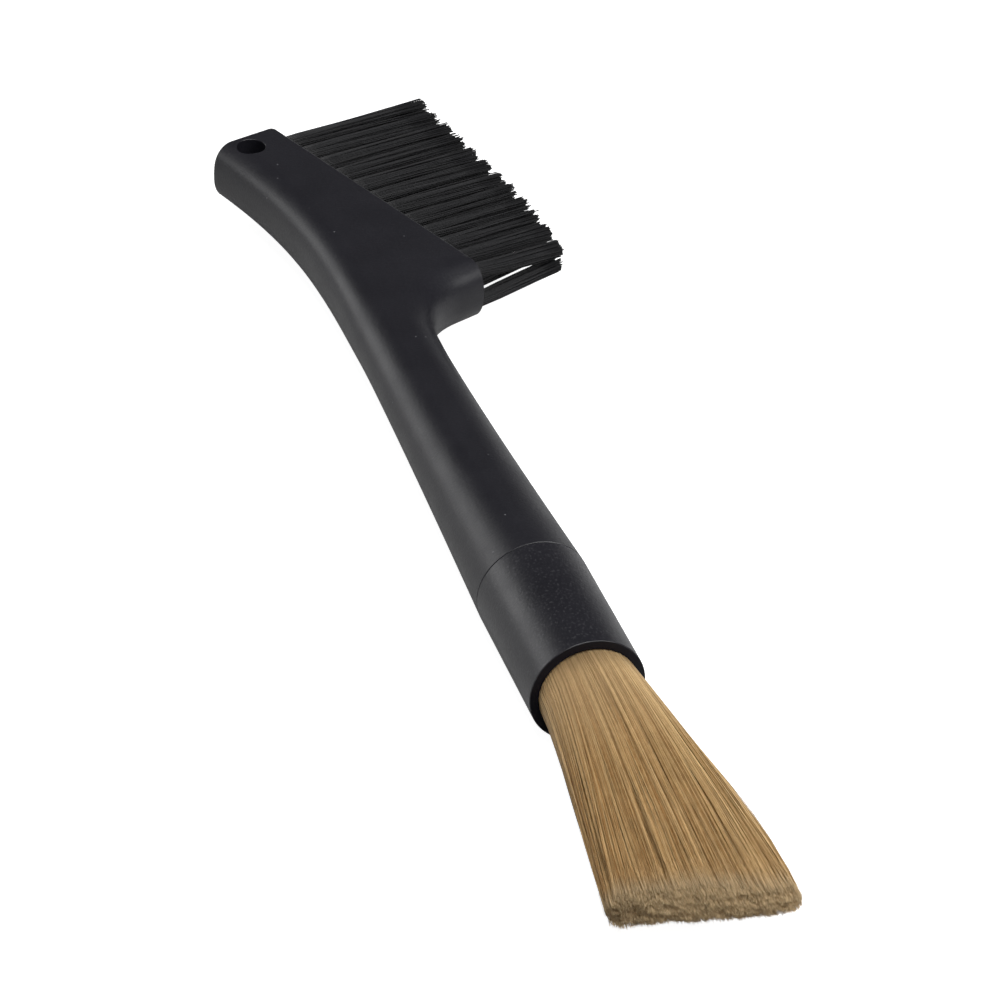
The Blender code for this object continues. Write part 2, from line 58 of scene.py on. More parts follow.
import bmesh
import bpy
import numpy as np
from bpy.props import FloatProperty, FloatVectorProperty, IntProperty, PointerProperty
from mathutils import Matrix, Vector

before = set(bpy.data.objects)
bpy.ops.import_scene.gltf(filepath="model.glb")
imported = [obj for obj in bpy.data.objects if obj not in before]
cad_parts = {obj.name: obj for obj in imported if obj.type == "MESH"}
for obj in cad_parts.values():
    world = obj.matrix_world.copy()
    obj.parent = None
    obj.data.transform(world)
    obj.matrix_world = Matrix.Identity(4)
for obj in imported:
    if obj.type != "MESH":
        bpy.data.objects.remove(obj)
CAD_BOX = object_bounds()

MM = 0.001
UP = Vector((0.0, 0.0, 1.0))
GOLDEN_ANGLE = math.pi * (3.0 - math.sqrt(5.0))
COLLAR_LOW, COLLAR_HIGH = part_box("collar")
MOUTH = Vector((COLLAR_HIGH.x, (COLLAR_LOW.y + COLLAR_HIGH.y) / 2, (COLLAR_LOW.z + COLLAR_HIGH.z) / 2))
TUFT_NODES = sorted(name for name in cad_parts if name.startswith("nylon_tuft"))
ANCHOR_NODES = sorted(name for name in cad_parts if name.startswith("tuft_anchor"))

# Slices along the handle's three parts, levels of one slice, and points of the curves behind them
HEAD_SLICES = 60
HEEL_SLICES = 110
GRIP_SLICES = 60
SLICE_LEVELS = 36
SWEEP_POINTS = 160
BESIDE_POINTS = 97

# Sides of the round shapes and steps of the round edges
COLLAR_SIDES = 160
HOLE_SIDES = 72
TUFT_HOLE_SIDES = 24
EDGE_STEPS = 6
CORNER_STEPS = 12

# Sizes that a tree takes over from the property group of the same piece
FAN_SIZES = (
    "root_radius reach slant tip_half_width tip_half_thickness squareness corner_drop end_rounding"
    " uneven drift bow ragged clump clump_pull wave crossing loose_side"
)
ROW_SIZES = (
    "first_inset pitch row_spacing row_lean droop far_reach near_reach middle_reach"
    " bulge flare splay lean gather strand_radius ragged clump_pull"
)
SHOWN_ATTRIBUTES = ("tone", "clump_tone", "along")
FAN_SEED = 20
FAN_SEED_STEP = 10
SPLIT_SEED = 80
TUFT_SEED = 5

# Place and sides of each soft light, in metres
LIGHTS = {
    "side": ((-1.2, -0.92, 0.36), (1.5, 0.6)),
    "far": ((-1.5, 0.85, 0.17), (1.2, 0.3)),
    "right": ((0.85, 0.92, 0.95), (0.7, 0.6)),
    "top": ((0.28, 0.0, 1.15), (0.8, 0.8)),
}

# The camera's place from the collar's mouth, and its turn in degrees
CAMERA_PLACE = Vector((423.09, -163.69, 339.97)) * MM
CAMERA_TURN = (55.982, -2.566, 72.476)


# Properties


def shift(name, millimetres, description, **limits):
    limits.update(default=millimetres * MM, unit="LENGTH", precision=4)
    return FloatProperty(name=name, description=description, **limits)


def length(name, millimetres, description):
    return shift(name, millimetres, description, min=0.0)


def turn(name, degrees, description):
    value = math.radians(degrees)
    return FloatProperty(name=name, description=description, default=value, subtype="ANGLE")


def share(name, value, description, high=1.0):
    return FloatProperty(name=name, description=description, default=value, min=0.0, max=high)


def watts(name, value, description):
    return FloatProperty(name=name, description=description, default=value, min=0.0, unit="POWER")


def count(name, value, description):
    return IntProperty(name=name, description=description, default=value, min=1)


def colour(name, value, description):
    limits = {"min": 0.0, "max": 1.0}
    return FloatVectorProperty(name=name, description=description, default=value, subtype="COLOR", **limits)


def named_sizes(group, names):
    return {name: getattr(group, name) for name in names.split()}


class HandleSizes(bpy.types.PropertyGroup):
    grip_length: length("Grip length", 83.0, "From the notch behind the head to the collar's seam")
    neck_back: length("Neck back", 7.6, "From the axis to the back of the neck")
    neck_front: length("Neck front", 6.7, "From the axis to the front of the neck")
    neck_back_place: length("Neck back place", 76.3, "From the seam to the neck's place behind")
    neck_front_place: length("Neck front place", 67.8, "From the seam to the neck's place in front")
    swell_power: share("Swell power", 1.3, "How much faster the grip swells near the seam", 3.0)
    flattening_run: length("Flattening run", 67.4, "From the seam to where the grip gets flat")
    head_thickness: length("Head thickness", 12.2, "Between the head's two flat faces")
    heel_height: length("Heel height", 19.6, "From the axis to the heel's corner")
    heel_lean: turn("Heel lean", 25.5, "Lean of the heel's side")
    notch_radius: length("Notch radius", 14.5, "Fillet between the grip and the heel")
    edge_angle: turn("Edge angle", 21.9, "Slope of the tufted edge")
    end_angle: turn("End angle", 90.6, "Corner between the tufted edge and the end face")
    end_width: length("End width", 13.6, "Width of the end face")
    tail_slope: turn("Tail slope", 21.0, "Slope of the back at the end face")
    tail_handle: length("Tail pull", 29.2, "How long the back keeps its slope")
    neck_handle: length("Neck pull", 20.5, "How long the back is straight at the neck")
    squareness: share("Squareness", 0.7, "How much squarer than round the sides are", 2.0)
    squareness_start: length("Squareness start", 10.0, "How far before the neck the sides get squarer")
    squareness_run: length("Squareness run", 40.0, "Over which length the sides get squarer")
    edge_rounding: length("Edge rounding", 0.55, "Rounding of the cut faces' long edges")
    corner_radius: length("Corner radius", 2.2, "Rounding of the far corner")
    hole_radius: length("Hole radius", 2.7, "Radius of the hanging hole")
    hole_along: length("Hole along", 4.0, "Hanging hole's place along the tufted edge")
    hole_inset: length("Hole inset", 8.0, "Hanging hole's distance from the tufted edge")
    hole_rounding: length("Hole rounding", 0.15, "Rounding of the hanging hole's rim")
    spigot_length: length("Spigot length", 12.0, "From the seam to the spigot's taper")
    spigot_taper: length("Spigot taper", 0.8, "Length and depth of the taper at the spigot's end")
    spigot_gap: length("Spigot gap", 0.1, "Between the spigot and the collar")


class CollarSizes(bpy.types.PropertyGroup):
    radius: length("Radius", 9.4, "Outside radius")
    long: length("Length", 27.2, "From the seam to the mouth")
    wall: length("Wall", 1.45, "Thickness of the wall")
    rim_rounding: length("Rim rounding", 0.14, "Rounding of the mouth's edges")
    seam_gap: length("Seam gap", 0.12, "Gap between the grip and the collar")
    seam_rounding: length("Seam rounding", 0.08, "Rounding of the edges at the seam")
    mouth_recess: length("Mouth recess", 1.2, "From the mouth to the bristles' roots")
    # The ring over the mouth's rim face is painted shade: a duller black that darkens the rim where it lies
    # in shade.
    shade_ring_depth: length("Shade ring depth", 0.3, "How deep the painted shade ring goes into the mouth's edge")
    shade_ring_lip: length("Shade ring lip", 0.02, "How far the painted shade ring stands out of the mouth's edge")


class BundleSizes(bpy.types.PropertyGroup):
    strands: count("Strands", 9600, "Number of blond bristles")
    layers: count("Layers", 3, "Number of meshes that share the bristles")
    strand_radius: length("Strand radius", 0.07, "Radius of one bristle at its root")
    split_ends: count("Split ends", 6500, "Number of fine hairs at the bristles' split tips")
    split_radius: length("Split radius", 0.032, "Radius of one fine hair")
    split_start: share("Split start", 0.9, "Where along a bristle its tip splits")
    splay: length("Splay", 0.25, "How far a bristle's tip bends away")
    split_splay: length("Split splay", 0.5, "How far a fine hair's tip bends away")
    root_radius: length("Root radius", 7.85, "Radius of the bundle in the collar")
    reach: length("Reach", 54.3, "From the mouth to the tips")
    slant: shift("Slant", 2.6, "How much farther one side reaches")
    tip_half_width: length("Tip half width", 14.15, "Half the fan's width at its tips")
    tip_half_thickness: length("Tip half thickness", 2.8, "Half the fan's thickness at its tips")
    squareness: share("Squareness", 0.7, "How much squarer than an oval the end is")
    corner_drop: length("Corner drop", 1.2, "How much shorter the fan is at its two sides")
    end_rounding: length("End rounding", 1.8, "How much shorter the outermost bristles are")
    uneven: length("Uneven", 1.0, "How much shorter patches of the fan's end are")
    drift: shift("Drift", -0.45, "Sideways shift of the tips")
    bow: shift("Bow", 0.65, "Sideways bow of the fan")
    ragged: length("Ragged", 0.9, "Greatest shortfall of a tip")
    clump: length("Clump", 0.62, "Size of a clump at the roots")
    clump_pull: share("Clump pull", 0.5, "How much the tips of a clump draw together")
    wave: length("Wave", 0.5, "Sideways wander of a bristle")
    crossing: length("Crossing", 1.1, "How far the clumps lean across each other")
    loose_side: length("Loose side", 1.15, "How far the bristles of one side stand away")


class TuftSizes(bpy.types.PropertyGroup):
    in_row: count("Tufts in a row", 12, "Number of tufts in each row")
    strands: count("Strands", 170, "Number of filaments in a tuft")
    pitch: length("Pitch", 5.19, "Distance between neighbouring tufts")
    first_inset: length("First inset", 3.1, "From the far corner to the first tuft")
    last_inset: length("Last inset", 3.5, "From the last tuft to the heel")
    row_spacing: length("Row spacing", 6.8, "Distance between the rows")
    row_lean: turn("Row lean", 4.2, "Lean of the rows towards each other")
    droop: length("Droop", 0.35, "How far the tips of the last tufts hang down")
    hole_radius: length("Hole radius", 1.4, "Radius of a tuft's hole")
    hole_depth: length("Hole depth", 4.1, "Depth of a tuft's hole")
    anchor_room: length("Anchor room", 0.8, "Left for the anchor at the bottom of a hole")
    far_reach: length("Far reach", 33.7, "Reach of the tufts at the head's end")
    near_reach: length("Near reach", 20.9, "Reach of the tufts at the heel")
    middle_reach: length("Middle reach", 1.3, "Extra reach of the tufts halfway along the head")
    bulge: share("Bulge", 0.16, "How much wider a tuft gets just outside its hole")
    flare: share("Flare", 1.0, "How much wider a tuft's tip is than its middle", 3.0)
    splay: length("Splay", 0.5, "How far a filament's tip bends away")
    lean: length("Lean", 0.5, "How far a tuft's tip leans away")
    gather: length("Gather", 0.8, "How far the tips of the outer tufts lean in")
    strand_radius: length("Strand radius", 0.115, "Radius of one filament")
    ragged: length("Ragged", 0.8, "Greatest shortfall of a tip")
    clump_pull: share("Clump pull", 0.42, "How much neighbouring filaments draw together")


class Finishes(bpy.types.PropertyGroup):
    plastic: colour("Plastic", (0.0084, 0.0082, 0.0114), "Black moulded plastic")
    plastic_dust: colour("Dust", (0.16, 0.16, 0.17), "Specks of dust on the plastic")
    nylon: colour("Nylon", (0.006, 0.006, 0.007), "Black nylon filament")
    nylon_light: colour("Light nylon", (0.0175, 0.0175, 0.019), "The lightest nylon filaments")
    blond: colour("Blond", (0.77, 0.54, 0.26), "Blond bristle")
    blond_dark: colour("Dark blond", (0.28, 0.13, 0.028), "The darkest blond bristles")
    blond_tip: colour("Blond tip", (0.76, 0.58, 0.34), "Split tips of the blond bristles")
    resin: colour("Resin", (0.2, 0.12, 0.05), "Set resin")
    steel: colour("Steel", (0.55, 0.55, 0.56), "Anchor strip")
    floor: colour("Floor", (0.48, 0.48, 0.48), "Pale floor")


class StageSettings(bpy.types.PropertyGroup):
    lens: FloatProperty(name="Lens", description="Focal length", default=132.85, min=1.0, unit="CAMERA")
    side_power: watts("Side power", 5.4, "Power of the low soft light")
    far_power: watts("Far power", 0.5, "Power of the low light behind")
    right_power: watts("Right power", 10.5, "Power of the soft light on the right")
    top_power: watts("Top power", 14.5, "Power of the soft light above")
    room: share("Room light", 0.06, "Brightness of the even light all round", 10.0)
    floor_glow: share("Floor glow", 0.95, "Extra brightness of the floor to the camera", 10.0)


# Shapes of the brush


def smooth_step(value):
    t = np.clip(value, 0.0, 1.0)
    return t * t * (3.0 - 2.0 * t)


class HandlePlan:
    """The handle's outline and slices, from its sizes. All places are seen from the collar's mouth."""

    def __init__(self, scene):
        self.size = scene.brush_handle
        self.tufts = scene.brush_tufts
        self.collar = scene.brush_collar
        size = self.size
        tufts = self.tufts
        self.seam_x = -self.collar.long
        self.notch_x = self.seam_x - size.grip_length
        self.edge_length = tufts.first_inset + (tufts.in_row - 1) * tufts.pitch + tufts.last_inset
        self.edge = Vector((math.cos(size.edge_angle), math.sin(size.edge_angle), 0.0))
        self.out = Vector((-self.edge.y, self.edge.x, 0.0))
        lean_run = (size.heel_height - size.neck_front) * math.tan(size.heel_lean)
        self.heel = Vector((self.notch_x - lean_run, size.heel_height, 0.0))
        self.corner = self.heel - self.edge_length * self.edge
        end_turn = size.edge_angle - size.end_angle
        self.end = Vector((math.cos(end_turn), math.sin(end_turn), 0.0))
        self.end_out = Vector((self.end.y, -self.end.x, 0.0))
        self.tail = self.corner + size.end_width * self.end
        self.back_neck = Vector((self.seam_x - size.neck_back_place, -size.neck_back, 0.0))
        self.half_head = size.head_thickness / 2
        self.back_sweep = self.make_back_sweep()

    def make_back_sweep(self):
        size = self.size
        slope = np.array((math.cos(size.tail_slope), math.sin(size.tail_slope)))
        tail = np.array(self.tail[:2])
        neck = np.array(self.back_neck[:2])
        tail_pull = tail + size.tail_handle * slope
        neck_pull = neck - np.array((size.neck_handle, 0.0))
        t = np.linspace(0.0, 1.0, SWEEP_POINTS)[:, None]
        left = 1.0 - t
        tail_part = left**3 * tail + 3 * left**2 * t * tail_pull
        curve = tail_part + 3 * left * t**2 * neck_pull + t**3 * neck
        return np.vstack((tail - 2.0 * size.head_thickness * slope, curve))

    def swell(self, x, neck, place):
        t = np.clip((x - (self.seam_x - place)) / place, 0.0, 1.0)
        return neck + (self.collar.radius - neck) * t**self.size.swell_power

    def back_line(self, x):
        sweep = np.interp(x, self.back_sweep[:, 0], self.back_sweep[:, 1])
        grip = -self.swell(x, self.size.neck_back, self.size.neck_back_place)
        return np.where(x < self.back_neck.x, sweep, grip)

    def front_line(self, x):
        size = self.size
        heel_angle = math.pi / 2 + size.heel_lean
        tangent = size.notch_radius / math.tan(heel_angle / 2)
        fillet_x = self.notch_x + tangent
        fillet_y = size.neck_front + size.notch_radius
        heel_start = self.notch_x + tangent * math.cos(heel_angle)
        grip = self.swell(x, size.neck_front, size.neck_front_place)
        fillet = fillet_y - np.sqrt(np.clip(size.notch_radius**2 - (x - fillet_x) ** 2, 0.0, None))
        heel = self.heel.y - (x - self.heel.x) / math.tan(size.heel_lean)
        line = np.where(x >= fillet_x, grip, np.where(x > heel_start, fillet, heel))
        tufted = self.corner.y + (x - self.corner.x) * math.tan(size.edge_angle)
        return np.minimum(line, tufted + size.head_thickness)

    def half_thickness(self, x):
        t = np.clip((self.seam_x - x) / self.size.flattening_run, 0.0, 1.0)
        return self.collar.radius + (self.half_head - self.collar.radius) * np.sin(math.pi / 2 * t)

    def section(self, x):
        """One upright slice: flat above and below, with rounded front and back sides."""
        size = self.size
        ends = np.array([x])
        half_height = float(self.half_thickness(x))
        half_width = float(self.front_line(ends)[0] - self.back_line(ends)[0]) / 2
        rounding = min(half_height, half_width)
        before_neck = self.back_neck.x + size.squareness_start - x
        power = 2.0 / (2.0 + size.squareness * float(smooth_step(before_neck / size.squareness_run)))
        step = math.pi / SLICE_LEVELS
        angle = -math.pi / 2 + step * (np.arange(SLICE_LEVELS) + 0.5)
        height = half_height * np.sign(np.sin(angle)) * np.abs(np.sin(angle)) ** power
        height /= math.cos(step / 2) ** power
        inset = rounding * (1.0 - np.abs(np.cos(angle)) ** power)
        spread = np.sin(np.linspace(-math.pi / 2, math.pi / 2, BESIDE_POINTS))
        beside = x + inset[:, None] * spread[None, :]
        bulge = inset[:, None] * np.sqrt(1.0 - spread[None, :] ** 2)
        front = np.min(self.front_line(beside) - bulge, axis=1)
        back = np.max(self.back_line(beside) + bulge, axis=1)
        sides = [(x, front[i], height[i]) for i in range(SLICE_LEVELS)]
        return sides + [(x, back[i], height[i]) for i in reversed(range(SLICE_LEVELS))]

    def stations(self):
        size = self.size
        start = self.corner.x - size.head_thickness / 2
        heel_x = self.heel.x - size.head_thickness
        neck_x = self.notch_x + 0.8 * size.notch_radius
        head = np.linspace(start, heel_x, HEAD_SLICES, endpoint=False)
        heel = np.linspace(heel_x, neck_x, HEEL_SLICES, endpoint=False)
        grip = np.linspace(neck_x, self.seam_x, GRIP_SLICES)
        return np.concatenate((head, heel, grip))

    def tuft_frame(self, along, side):
        place = self.corner + along * self.edge + side * self.tufts.row_spacing / 2 * UP
        axes = Matrix((self.edge, -UP, self.out)).transposed().to_4x4()
        return Matrix.Translation(place) @ axes @ Matrix.Rotation(-side * self.tufts.row_lean, 4, "X")

    def tuft_frames(self):
        for side in (1.0, -1.0):
            for index in range(self.tufts.in_row):
                yield self.tuft_frame(self.tufts.first_inset + index * self.tufts.pitch, side)


def closed_mesh(name, shape):
    bmesh.ops.recalc_face_normals(shape, faces=shape.faces)
    mesh = bpy.data.meshes.new(name)
    shape.to_mesh(mesh)
    shape.free()
    return mesh


def ring_mesh(name, rings, tube=False):
    """A solid over rings of points, with closed ends or, as a tube, closed in itself."""
    shape = bmesh.new()
    rings = [[shape.verts.new(point) for point in ring] for ring in rings]
    for ring, following in zip(rings, rings[1:] + rings[:1] if tube else rings[1:]):
        for index in range(len(ring)):
            after = (index + 1) % len(ring)
            shape.faces.new((ring[index], ring[after], following[after], following[index]))
    if not tube:
        shape.faces.new(reversed(rings[0]))
        shape.faces.new(rings[-1])
    return closed_mesh(name, shape)


def turned_mesh(name, profile, sides, axis="X", tube=False):
    """A turned solid or, where the profile runs round a wall, a turned tube."""
    angles = [2.0 * math.pi * index / sides for index in range(sides)]
    rings = []
    for place, radius in profile:
        ring = [(place, radius * math.cos(angle), radius * math.sin(angle)) for angle in angles]
        rings.append([(y, z, x) for x, y, z in ring] if axis == "Z" else ring)
    return ring_mesh(name, rings, tube)


def arc(limit, steps):
    """Even angles from nothing to a limit."""
    return [limit * step / steps for step in range(steps + 1)]


def rounded(corner, first, last, radius, steps=5):
    """Points of a round corner between two directions that leave it, given as unit pairs."""
    points = []
    for angle in arc(math.pi / 2, steps):
        a = radius * (1.0 - math.sin(angle))
        b = radius * (1.0 - math.cos(angle))
        points.append((corner[0] + a * first[0] + b * last[0], corner[1] + a * first[1] + b * last[1]))
    return points


def link(name, data):
    item = bpy.data.objects.new(name, data)
    bpy.context.scene.collection.objects.link(item)
    return item


def take_mesh(item, name):
    """The item's mesh with its modifiers done, as a plain mesh. The item itself goes."""
    graph = bpy.context.evaluated_depsgraph_get()
    mesh = bpy.data.meshes.new_from_object(item.evaluated_get(graph))
    bpy.data.objects.remove(item, do_unlink=True)
    mesh.name = name
    return mesh


def cut_away(name, mesh, cutters):
    """The mesh without the space of each cutter, as one plain mesh."""
    item = link(name, mesh)
    tools = [link(cutter.name, cutter) for cutter in cutters]
    for tool in tools:
        modifier = item.modifiers.new(tool.name, "BOOLEAN")
        modifier.object = tool
        modifier.operation = "DIFFERENCE"
        modifier.solver = "EXACT"
    result = take_mesh(item, name)
    for tool in tools:
        bpy.data.objects.remove(tool, do_unlink=True)
    return result


def even_shading(name, mesh):
    """The mesh with its normals led by its large faces, so that roundings don't tint flats beside them."""
    item = link(name, mesh)
    modifier = item.modifiers.new("even_shading", "WEIGHTED_NORMAL")
    modifier.keep_sharp = True
    return take_mesh(item, name)


def place_piece(name, mesh, material, nodes, sharp=35.0):
    """Set a finished mesh at the collar's mouth and let it stand for the frame's nodes."""
    mesh.transform(Matrix.Translation(MOUTH))
    mesh.shade_smooth()
    if sharp:
        mesh.set_sharp_from_angle(angle=math.radians(sharp))
        mesh = even_shading(name, mesh)
    mesh.materials.clear()
    mesh.materials.append(material)
    item = link(name, mesh)
    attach(item, "root")
    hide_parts(*nodes)


# Node trees


def arithmetic(operation, turned=False):
    """One of the signs of plain arithmetic between fields, as a math node."""

    def act(self, other):
        values = (other, self) if turned else (self, other)
        return self.maker.math(operation, *values)

    return act


class Field:
    """A value that varies over a node tree, written with plain arithmetic."""

    def __init__(self, maker, socket):
        self.maker = maker
        self.socket = socket

    __add__ = arithmetic("ADD")
    __radd__ = arithmetic("ADD", turned=True)
    __sub__ = arithmetic("SUBTRACT")
    __rsub__ = arithmetic("SUBTRACT", turned=True)
    __mul__ = arithmetic("MULTIPLY")
    __rmul__ = arithmetic("MULTIPLY", turned=True)
    __truediv__ = arithmetic("DIVIDE")
    __rtruediv__ = arithmetic("DIVIDE", turned=True)
    __pow__ = arithmetic("POWER")


class TreeMaker:
    """Adds nodes to one tree and joins them up."""

    def __init__(self, tree):
        self.tree = tree

    def node(self, kind, **settings):
        item = self.tree.nodes.new(kind)
        item.location = (40.0 * len(self.tree.nodes), 0.0)
        for name, value in settings.items():
            setattr(item, name, value)
        return item

    def feed(self, inputs, values):
        """Link or set a node's inputs, which are given in order or by their names."""
        for place, value in values.items() if isinstance(values, dict) else enumerate(values):
            if isinstance(value, Field):
                value = value.socket
            if isinstance(value, bpy.types.NodeSocket):
                self.tree.links.new(value, inputs[place])
            else:
                inputs[place].default_value = value

    def make(self, kind, values=(), output=0, **settings):
        """One output of a new node."""
        item = self.node(kind, **settings)
        self.feed(item.inputs, values)
        return Field(self, item.outputs[output])

    def math(self, operation, *values):
        return self.make("ShaderNodeMath", values, operation=operation)

    def clamp(self, value):
        return self.make("ShaderNodeMath", (value, 0.0), operation="ADD", use_clamp=True)

    def vector(self, x, y, z):
        return self.make("ShaderNodeCombineXYZ", (x, y, z))

    def parts(self, value):
        node = self.make("ShaderNodeSeparateXYZ", (value,)).socket.node
        return [Field(self, socket) for socket in node.outputs]

    def along(self, direction, amount):
        return self.make("ShaderNodeVectorMath", {"Vector": direction, "Scale": amount}, operation="SCALE")

    def sum(self, first, *others):
        for other in others:
            first = self.make("ShaderNodeVectorMath", (first, other), operation="ADD")
        return first

    def noise(self, vector, scale, detail=1.0, output=0):
        return self.make("ShaderNodeTexNoise", {"Vector": vector, "Scale": scale, "Detail": detail}, output)

    def cells(self, vector, scale, **settings):
        """The outputs of a pattern of cells, each with its own centre and chance colour."""
        centre = self.make("ShaderNodeTexVoronoi", {"Vector": vector, "Scale": scale}, **settings)
        return centre.socket.node.outputs

    def remap(self, value, low, high, new_low=0.0, new_high=1.0, smooth=False):
        kind = "SMOOTHSTEP" if smooth else "LINEAR"
        return self.make("ShaderNodeMapRange", (value, low, high, new_low, new_high), interpolation_type=kind)

    def blend(self, amount, first, second):
        values = {"Factor": amount, "A": first, "B": second}
        return self.make("ShaderNodeMix", values, "Result", data_type="RGBA")

    def bump(self, height, strength, distance):
        return self.make("ShaderNodeBump", {"Strength": strength, "Distance": distance, "Height": height})

    def own_place(self):
        return self.make("ShaderNodeTexCoord", output="Object")

    def attribute(self, name):
        return self.make("ShaderNodeAttribute", output="Fac", attribute_name=name)


def label(name):
    """The label of the input that belongs to a property."""
    return name.replace("_", " ").title()


class StrandTree(TreeMaker):
    """A geometry tree that turns a count of strands into tapered strands along a formula."""

    def __init__(self, name, **inputs):
        super().__init__(bpy.data.node_groups.new(name, "GeometryNodeTree"))
        interface = self.tree.interface
        interface.new_socket("Geometry", in_out="OUTPUT", socket_type="NodeSocketGeometry")
        self.sockets = {}
        for kind, names in inputs.items():
            for item in names.split():
                socket = interface.new_socket(label(item), in_out="INPUT", socket_type="NodeSocket" + kind)
                self.sockets[item] = socket
        self.entry = self.node("NodeGroupInput")
        self.exit = self.node("NodeGroupOutput")
        self.spare = []

    def input(self, name):
        return Field(self, self.entry.outputs[label(name)])

    def random(self, low, seed, **own):
        """A chance value from low to 1 for each strand, or for each key given as ID."""
        return self.make("FunctionNodeRandomValue", {2: low, 3: 1.0, "Seed": seed, **own}, 1)

    def store(self, geometry, **values):
        for name, value in values.items():
            inputs = {"Geometry": geometry, "Name": name, "Value": value}
            geometry = self.make("GeometryNodeStoreNamedAttribute", inputs, data_type="FLOAT")
            if name not in SHOWN_ATTRIBUTES:
                self.spare.append(name)
        return geometry

    def stored(self, name):
        return self.make("GeometryNodeInputNamedAttribute", {"Name": name}, data_type="FLOAT")

    def strands(self, points, sides, segments):
        """A straight strand on every point, real geometry, with its length along Z from 0 to 1."""
        sizes = {"Vertices": sides, "Side Segments": segments, "Radius": 1.0, "Depth": 1.0}
        strand = self.make("GeometryNodeMeshCylinder", sizes, "Mesh", fill_type="NGON")
        copies = self.make("GeometryNodeInstanceOnPoints", {"Points": points, "Instance": strand})
        return self.make("GeometryNodeRealizeInstances", (copies,))

    def clump(self, x, y, scale):
        """The centre and the three chance values of the clump at a place."""
        cell = self.cells(self.vector(x, y, 0.0), scale, voronoi_dimensions="2D")
        centre_x, centre_y, _ = self.parts(cell["Position"])
        return centre_x, centre_y, *self.parts(cell["Color"])

    def template(self):
        x, y, z = self.parts(self.make("GeometryNodeInputPosition"))
        return x, y, z + 0.5

    def finish(self, geometry, position):
        geometry = self.make("GeometryNodeSetPosition", {"Geometry": geometry, "Position": position})
        for name in self.spare:
            geometry = self.make("GeometryNodeRemoveAttribute", {"Geometry": geometry, "Name": name})
        painted = {"Geometry": geometry, "Material": self.input("material")}
        self.feed(self.exit.inputs, (self.make("GeometryNodeSetMaterial", painted),))

    def grow(self, name, values):
        """A plain mesh of the tree's result, with these values on its inputs."""
        item = link(name, bpy.data.meshes.new(name))
        modifier = item.modifiers.new(name, "NODES")
        modifier.node_group = self.tree
        for size, value in values.items():
            modifier[self.sockets[size].identifier] = value
        return take_mesh(item, name)


